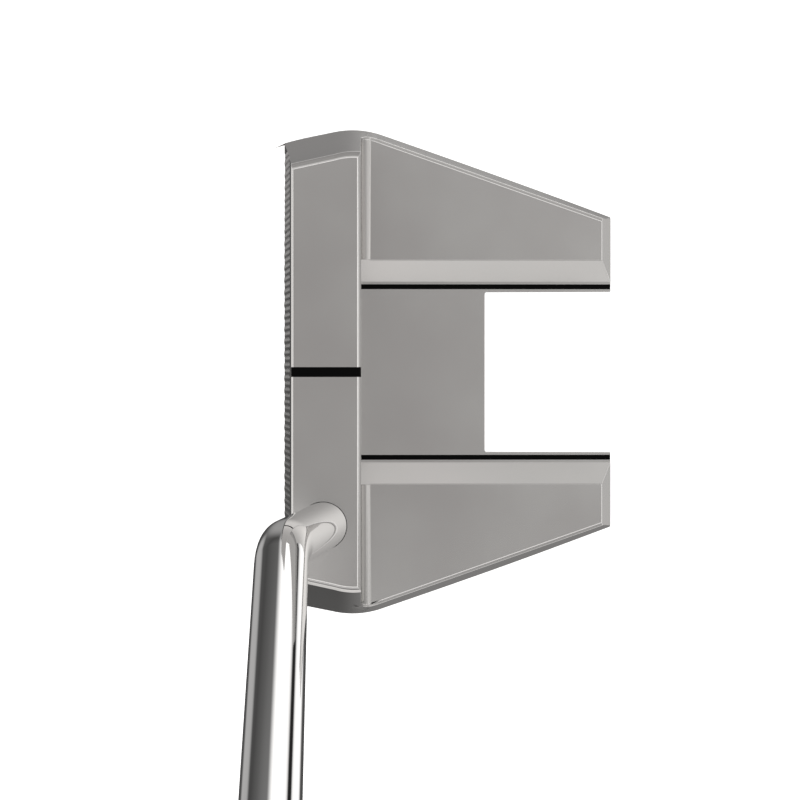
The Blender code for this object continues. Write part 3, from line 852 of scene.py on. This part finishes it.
def weight_frame(side):
    """Where a weight sits: on the sole's surface, its Z into the head."""
    x, y = side * WEIGHT_X, WEIGHT_Y
    slope_x = (sole_z(x + MM, y) - sole_z(x - MM, y)) / (2 * MM)
    slope_y = (sole_z(x, y + MM) - sole_z(x, y - MM)) / (2 * MM)
    inwards = Vector((-slope_x, -slope_y, 1.0)).normalized()
    turn = Vector((0, 0, 1)).rotation_difference(inwards).to_matrix().to_4x4()
    return Matrix.Translation((x, y, sole_z(x, y))) @ turn


def weight_pocket(side):
    reach = WEIGHT_RADIUS + POCKET_GAP
    mouth = reach + POCKET_LIP
    inner = SHANK_RADIUS + PIECE_GAP
    profile = [(mouth + PAST, -PAST), (mouth, 0.0), (reach, POCKET_LIP), (reach, O_RING_SEAT)]
    profile += [(inner, O_RING_SEAT), (inner, SHANK_END + PIECE_GAP)]
    return make_object("pocket", loft(turned(profile)), matrix=weight_frame(side))


def beside_strip(point):
    """Whether a point is on the edge between a strip and its panel, which keeps the plain steel, without the
    painted highlight.
    """
    return abs(abs(point.x) - channel_x(PANEL_Z)) < 0.2 * MM and abs(point.z - PANEL_Z) < 0.2 * MM


def close_pinholes(made):
    """Fills the specks of open edge that a cut can leave where three surfaces meet."""
    work = bmesh.new()
    work.from_mesh(made.data)
    bmesh.ops.holes_fill(work, edges=[edge for edge in work.edges if edge.is_boundary], sides=4)
    bmesh.ops.dissolve_degenerate(work, dist=0.001 * MM, edges=work.edges[:])
    work.to_mesh(made.data)
    work.free()


def build_head():
    head = head_blank()
    cut(head, sole_cutter())
    cut(head, panel_cutter())
    cut(head, channel_cutter())
    cut(head, notch_cutter())
    cut(head, shaft_bore())
    half = SIGHT_WIDTH / 2
    cut(head, block("groove", (-half, FACE_Y - PAST, CROWN_Z - SIGHT_DEPTH), (half, PAST, CROWN_Z + PAST)))
    for side in (-1, 1):
        low = (side * LINE_X - LINE_WIDTH / 2, rear_wall_y(FLOOR_Z) + 0.02 * MM, FLOOR_Z - LINE_DEPTH)
        high = (side * LINE_X + LINE_WIDTH / 2, BACK_Y + PAST, FLOOR_Z + PAST)
        cut(head, block("groove", low, high))
        cut(head, weight_pocket(side))
    bevel(head, "rim", rim_width, max(RIM_CHAMFER, SOLE_CHAMFER), 1)
    # The roundings take the second finish, whose lighter base colour paints the edge highlights as well as a
    # real polish.
    for finish in (STEEL, HIGHLIGHT_EDGE_STEEL):
        head.data.materials.append(finish)
    bevel(head, "rounding", rounding_width, max(ROUNDING, RIM_ROUNDING), EDGE_SEGMENTS, 1)
    for face in head.data.polygons:
        if beside_strip(face.center):
            face.material_index = 0
    cut(head, face_cutter())
    close_pinholes(head)
    head.name = "head"
    level_normals(head, SAME_FACET)
    return hand_over(head, "satin_steel", "head_body")


def paint_bar(name, outline, across, half, dip):
    """Paint in a groove: its visible faces sink a little towards the middle of its width."""
    rings = []
    for step in range(PAINT_COLUMNS + 1):
        share = 2 * step / PAINT_COLUMNS - 1
        sunk = dip * (1 - share * share)
        rings.append([point + across * (half * share) - Vector((0, 0, sunk)) * top for point, top in outline])
    bar = make_object(name, loft(rings), PAINT)
    smooth(bar, radians(40))
    return bar


def build_lines():
    """The sight line across the crown and the two long lines beside the notch."""
    skin = PAINT_GAP
    low, high = CROWN_Z - SIGHT_DEPTH + skin, CROWN_Z - skin
    steps = band_steps(REAR_BANDS)
    outline = [(Vector((0, face_y(low) + skin, low)), 0)]
    outline.append((Vector((0, face_y(CROWN_Z - FRONT_CHAMFER) + skin, high - FRONT_CHAMFER)), 0))
    outline.append((Vector((0, face_y(high) + FRONT_CHAMFER, high)), 1))
    for inset, drop in steps:
        outline.append((Vector((0, rear_wall_y(high) - inset - skin, high - drop)), 1))
    outline.append((Vector((0, rear_wall_y(low) - skin, low)), 0))
    half = SIGHT_WIDTH / 2 - skin / 2
    bar = paint_bar("sight_line_paint", outline, Vector((1, 0, 0)), half, SIGHT_DIP)
    hand_over(bar, "black_paint", "centre_sight_line")
    for name, side in (("toe", -1), ("heel", 1)):
        front = rear_wall_y(FLOOR_Z) + 2 * skin
        back = BACK_Y - 3 * skin
        low, high = FLOOR_Z - LINE_DEPTH + skin, FLOOR_Z - skin
        corners = ((front, low, 0), (back, low, 0), (back, high, 1), (front, high, 1))
        outline = [(Vector((side * LINE_X, y, z)), top) for y, z, top in corners]
        half = LINE_WIDTH / 2 - skin / 2
        bar = paint_bar(f"{name}_line_paint", outline, Vector((1, 0, 0)), half, LINE_DIP)
        hand_over(bar, "black_paint", f"{name}_alignment_line")


def build_weight(name, side):
    """A turned screw-in weight: a dished, ringed face, a hexagonal key socket and a threaded shank."""
    outer = WEIGHT_RECESS
    flange = outer + FLANGE_THICK
    profile = [(SOCKET_TIP, outer + SOCKET_DEPTH)]
    profile += [(SOCKET_RADIUS + beyond, outer + depth) for beyond, depth in SOCKET_DISH]
    for turn in range(WEIGHT_RING_COUNT):
        centre = WEIGHT_RING_RADIUS + turn * WEIGHT_RING_SPACING
        for offset, share in WEIGHT_RING_PROFILE:
            profile.append((centre + offset, outer + WEIGHT_RING_DEPTH * share))
    profile += [(WEIGHT_RADIUS - WEIGHT_EDGE, outer), (WEIGHT_RADIUS, outer + WEIGHT_EDGE)]
    profile += [(WEIGHT_RADIUS, flange), (SHANK_RADIUS, flange), (SHANK_RADIUS, O_RING_SEAT)]
    for turn in range(int((SHANK_END - O_RING_SEAT) / THREAD_PITCH)):
        z = O_RING_SEAT + turn * THREAD_PITCH
        profile += [(SHANK_RADIUS - THREAD_DEPTH, z + THREAD_PITCH * 0.5), (SHANK_RADIUS, z + THREAD_PITCH)]
    profile.append((SHANK_RADIUS - WEIGHT_EDGE, SHANK_END))
    weight = make_object(name, loft(turned(profile)), WEIGHT_STEEL, matrix=weight_frame(side))
    socket = [(SOCKET_RADIUS, -PAST), (SOCKET_RADIUS, outer + SOCKET_DEPTH)]
    cut(weight, make_object("socket", loft(turned(socket, 6)), matrix=weight_frame(side)))
    smooth(weight, radians(25))
    return weight


def build_weights():
    for name, side in (("toe", -1), ("heel", 1)):
        weight = build_weight(f"{name}_weight", side)
        hand_over(weight, "weight_steel", f"{name}_sole_weight")


def build_shaft():
    stations = shaft_stations()
    outer = [ring_about(*station) for station in stations]
    inner = [ring_about(point, direction, radius - SHAFT_WALL) for point, direction, radius in stations]
    made = make_object("shaft_tube", loft(outer + inner[::-1], closed=True), CHROME)
    smooth(made, radians(40))
    return hand_over(made, "shaft_chrome", "shaft")


def grip_relief(down, angle):
    """How deep the pattern is under the grip's outer surface."""
    from_cap, from_end = down - CAP_BAND, GRIP_LENGTH - TIP_BAND - down
    if min(from_cap, from_end) < 0:
        line = min(abs(from_cap + BAND_LINE_PLACE), abs(from_end + BAND_LINE_PLACE))
        return BAND_LINE_DEPTH * max(0.0, 1 - line / BAND_LINE_HALF_WIDTH)
    fade = min(1.0, min(from_cap, from_end) / PATTERN_FADE)
    on_front = sin(angle) < FRONT_EDGE
    if on_front:
        # Chevrons down the flat front.
        turn = (down - abs(cos(angle)) * CHEVRON_RISE) / GROOVE_PITCH
        width = CHEVRON_WIDTH
    else:
        # Short dimple rows round the back.
        turn = down / (0.5 * GROOVE_PITCH) + 0.5 * (round(angle * DIMPLE_COLUMNS / pi) % 2)
        width = DIMPLE_WIDTH
    near = abs(turn - floor(turn) - 0.5) * 2
    groove = max(0.0, 1 - near / width)
    if not on_front:
        groove *= abs(sin(angle * DIMPLE_COLUMNS))
    return GROOVE_DEPTH * fade * groove * groove * (3 - 2 * groove)


def build_grip():
    angles = [2 * pi * step / GRIP_AROUND for step in range(GRIP_AROUND)]
    top = CAP_THICK + PIECE_GAP
    outer = []
    for row in range(GRIP_ROWS + 1):
        down = top + (GRIP_LENGTH - top) * row / GRIP_ROWS
        closeness = max(0.0, 1 - (GRIP_LENGTH - down) / GRIP_END_ROUNDING_LENGTH)
        rounding = GRIP_END_ROUNDING * closeness ** 2
        outer.append([grip_point(down, a, rounding + grip_relief(down, a)) for a in angles])
    places = [top]
    places += [GRIP_LENGTH * row / GRIP_BORE_ROWS for row in range(1, GRIP_BORE_ROWS + 1)]
    inner = [[grip_point(down, a, SKIN_THICK) for a in angles] for down in places]
    skin = make_object("grip_wrap", loft(outer + inner[::-1], closed=True), GRIP)
    smooth(skin, radians(50))
    hand_over(skin, "grip_skin", "grip_skin")


def build_cap():
    """The cap over the butt: a rolled edge, a turned ring and a countersunk vent."""
    angles = [2 * pi * step / ROUND_STEPS for step in range(ROUND_STEPS)]
    rings = [[grip_point(CAP_THICK, a, 0.0) for a in angles]]
    for step in range(CAP_EDGE_STEPS + 1):
        turn = step / CAP_EDGE_STEPS * pi / 2
        down = CAP_DOME * (1 - sin(turn))
        rings.append([grip_point(down, a, CAP_DOME * (1 - cos(turn))) for a in angles])
    for share, sunk in CAP_RING:
        rings.append([upper_point(sunk).lerp(grip_point(sunk, a, CAP_DOME), share) for a in angles])
    vent = ((VENT_RADIUS + VENT_COUNTERSINK, 0.0), (VENT_RADIUS, VENT_COUNTERSINK), (VENT_RADIUS, CAP_THICK))
    for radius, down in vent:
        middle = upper_point(0.0) - upper_direction() * down
        rings.append([middle + (ACROSS * cos(a) + golferwards() * sin(a)) * radius for a in angles])
    cap = make_object("grip_cap", loft(rings, closed=True), RUBBER)
    smooth(cap, radians(40))
    hand_over(cap, "grip_cap", "grip_end_cap")


build_head()
build_lines()
build_weights()
build_shaft()
build_grip()
build_cap()

HIDDEN_NODES = (
    ("toe_weight_o_ring", SEAL), ("heel_weight_o_ring", SEAL), ("shaft_bond", EPOXY),
    ("shaft_tip_plug", CORK), ("grip_tape", PAPER), ("grip_underlisting", FOAM),
)
for node, finish in HIDDEN_NODES:
    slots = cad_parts[node].data.materials
    slots.clear()
    slots.append(finish)


# ---- stage, light and camera ----

FLOOR_HALF = 6.0
FLOOR_DROP = 0.0002
FLOOR_GLOW = 0.85


def build_floor():
    work = bmesh.new()
    bmesh.ops.create_grid(work, x_segments=1, y_segments=1, size=FLOOR_HALF)
    floor = make_object("floor", work)
    material = bpy.data.materials.new("floor")
    shader = nodes_of(material)[1]
    shader.inputs["Base Color"].default_value = (0.9, 0.9, 0.9, 1.0)
    shader.inputs["Roughness"].default_value = 0.9
    shader.inputs["Emission Color"].default_value = (1.0, 1.0, 1.0, 1.0)
    shader.inputs["Emission Strength"].default_value = FLOOR_GLOW
    floor.data.materials.append(material)
    floor.visible_glossy = False
    floor.location.z = -FLOOR_DROP


# Studio light by height: (sine of the elevation, brightness).
LIGHT_BY_HEIGHT = (
    (-1.0, 0.06), (-0.95, 0.09), (-0.9, 0.11), (-0.8, 0.07), (-0.74, 0.12), (-0.69, 0.20), (-0.62, 0.28),
    (-0.5, 0.52), (-0.35, 0.56), (-0.15, 0.65), (0.0, 0.78), (0.14, 0.93), (0.25, 0.85), (0.33, 0.55),
    (0.40, 0.34), (0.48, 0.40), (0.6, 0.55), (0.75, 0.68), (0.83, 0.68), (0.88, 0.85), (0.92, 1.25),
    (0.957, 1.25), (0.973, 0.74), (0.988, 0.43), (1.0, 0.42),
)
LIGHT_LEAST = 0.02
LIGHT_TINT = (1.0, 0.985, 0.975, 1.0)
# Soft boxes and black flags: (azimuth, elevation, full inside, nothing outside, brightness).
# Azimuth 0 is the heel, 90 the rear, 180 the toe and 270 the front.
SOFT_BOXES = (
    (160, -44, 8, 20, 1.2),
    (113, -62, 5, 14, 1.1),
    (134, -53, 1, 6, -0.4),
    (248, -64, 5, 12, 0.35),
    (180, -69, 6, 18, 0.24),
    (28, -65, 6, 16, 0.18),
    (96, -38, 6, 20, 0.4),
    (90, 34, 8, 15, 0.7),
    (105, 74, 4, 10, 0.5),
    (90, -5, 10, 30, -0.2),
    (270, 2, 8, 24, 0.4),
    (0, -8, 8, 22, 0.3),
    (191, 11, 3, 8, -0.5),
    (0, 24, 4, 12, -0.15),
    (22, 16, 4, 12, -0.45),
    (158, 15, 5, 15, -0.25),
)


def build_world():
    """A pale studio: bright low down and in a wide ring overhead, with soft boxes and flags."""
    world = bpy.data.worlds.new("studio")
    bpy.context.scene.world = world
    world.use_nodes = True
    tree = world.node_tree
    tree.nodes.clear()
    place = tree.nodes.new("ShaderNodeTexCoord")
    split = tree.nodes.new("ShaderNodeSeparateXYZ")
    tree.links.new(place.outputs["Generated"], split.inputs["Vector"])
    height = tree.nodes.new("ShaderNodeMapRange")
    height.inputs["From Min"].default_value = -1.0
    height.inputs["From Max"].default_value = 1.0
    tree.links.new(split.outputs["Z"], height.inputs["Value"])
    ramp = tree.nodes.new("ShaderNodeValToRGB")
    elements = ramp.color_ramp.elements
    while len(elements) < len(LIGHT_BY_HEIGHT):
        elements.new(0.5)
    for element, (level, bright) in zip(elements, LIGHT_BY_HEIGHT):
        element.position = (level + 1) / 2
        element.color = (bright, bright, bright, 1.0)
    tree.links.new(height.outputs["Result"], ramp.inputs["Fac"])
    light = ramp.outputs["Color"]
    for azimuth, elevation, full, nothing, bright in SOFT_BOXES:
        level = cos(radians(elevation))
        towards = (level * cos(radians(azimuth)), level * sin(radians(azimuth)), sin(radians(elevation)))
        near = add_node(tree, "ShaderNodeVectorMath", operation="DOT_PRODUCT")
        near.inputs[1].default_value = towards
        tree.links.new(place.outputs["Generated"], near.inputs[0])
        box = add_node(tree, "ShaderNodeMapRange", interpolation_type="SMOOTHSTEP")
        box.inputs["From Min"].default_value = cos(radians(nothing))
        box.inputs["From Max"].default_value = cos(radians(full))
        box.inputs["To Max"].default_value = bright
        tree.links.new(near.outputs["Value"], box.inputs["Value"])
        add = add_node(tree, "ShaderNodeMath", operation="ADD")
        tree.links.new(light, add.inputs[0])
        tree.links.new(box.outputs["Result"], add.inputs[1])
        light = add.outputs["Value"]
    least = add_node(tree, "ShaderNodeMath", operation="MAXIMUM")
    least.inputs[1].default_value = LIGHT_LEAST
    tree.links.new(light, least.inputs[0])
    studio = tree.nodes.new("ShaderNodeBackground")
    studio.inputs["Color"].default_value = LIGHT_TINT
    tree.links.new(least.outputs["Value"], studio.inputs["Strength"])
    plain = tree.nodes.new("ShaderNodeBackground")
    plain.inputs["Color"].default_value = (1.0, 1.0, 1.0, 1.0)
    path = tree.nodes.new("ShaderNodeLightPath")
    pick = tree.nodes.new("ShaderNodeMixShader")
    tree.links.new(path.outputs["Is Camera Ray"], pick.inputs["Fac"])
    tree.links.new(studio.outputs["Background"], pick.inputs[1])
    tree.links.new(plain.outputs["Background"], pick.inputs[2])
    out = tree.nodes.new("ShaderNodeOutputWorld")
    tree.links.new(pick.outputs["Shader"], out.inputs["Surface"])


CAMERA_PLACE = Vector((0.0, -0.009, 0.600))
CAMERA_AIM = Vector((0.0055, 0.0032, 0.025))
CAMERA_LENS = 131.58
CAMERA_SENSOR = 36.0
CAMERA_NEAR = 0.01


def build_camera():
    camera = link(bpy.data.objects.new("camera", bpy.data.cameras.new("camera")))
    camera.data.lens = CAMERA_LENS
    camera.data.sensor_width = CAMERA_SENSOR
    camera.data.clip_start = CAMERA_NEAR
    back = (CAMERA_PLACE - CAMERA_AIM).normalized()
    right = Vector((-1, 0, 0)).cross(back).normalized()
    matrix = Matrix((right, back.cross(right), back)).transposed().to_4x4()
    matrix.translation = CAMERA_PLACE
    camera.matrix_world = matrix
    bpy.context.scene.camera = camera


build_floor()
build_world()
build_camera()
bpy.context.scene.view_settings.view_transform = "Standard"
